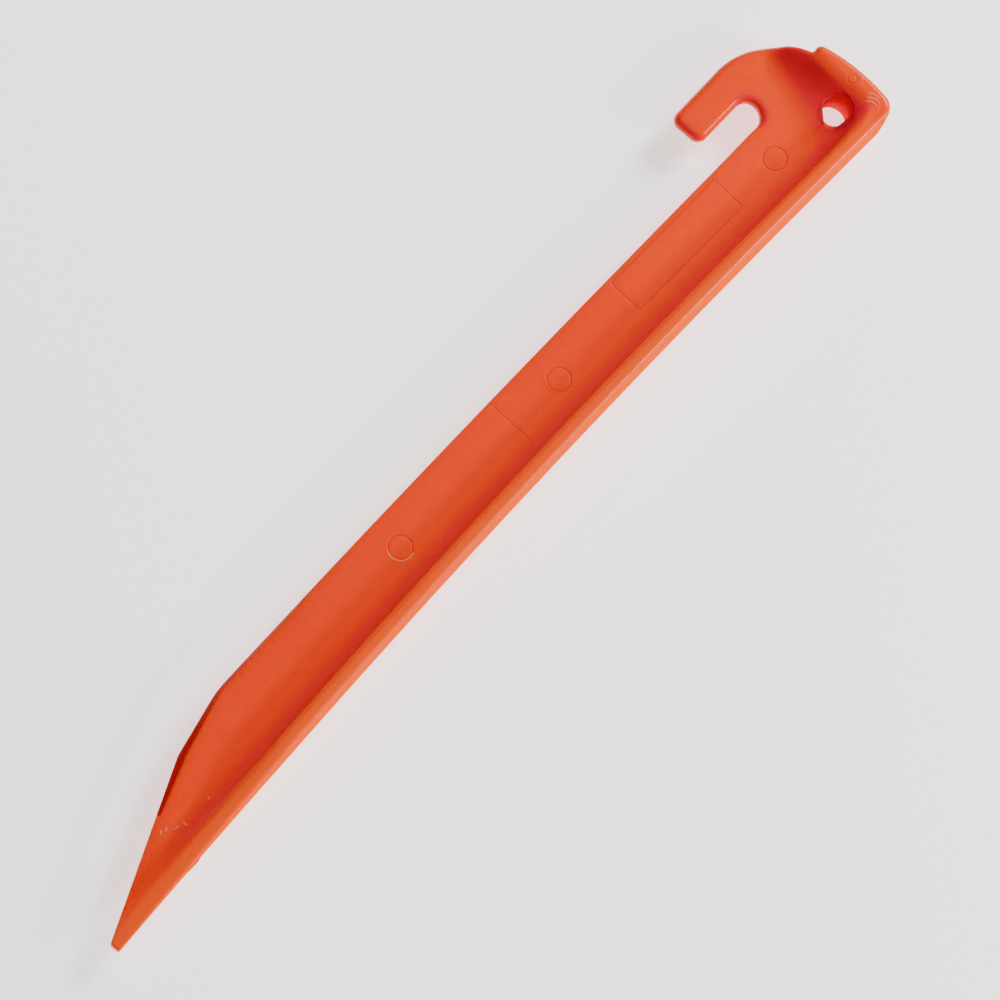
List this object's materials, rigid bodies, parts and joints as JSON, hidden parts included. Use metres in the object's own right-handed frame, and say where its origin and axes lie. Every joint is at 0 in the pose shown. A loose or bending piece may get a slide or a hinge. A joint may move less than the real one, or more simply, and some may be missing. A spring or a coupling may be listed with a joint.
{
  "type": "tent stake",
  "caption": "One-piece moulded T-section tent stake with a tapered point, a side hook for guy lines and an eye through the head.",
  "frame": {"origin": "bottom centre of the stake's bounding box as it lies with its web level", "axes": "+X along the stake from the point to the head, +Y from the spine towards the hook, +Z out of the web's front face"},
  "size_m": [0.305, 0.0424, 0.0188],
  "materials": {
    "moulded_plastic": "satin injection-moulded plastic, orange"
  },
  "bodies": {
    "root": {"stake_body": "moulded_plastic"}
  },
  "joints": []
}
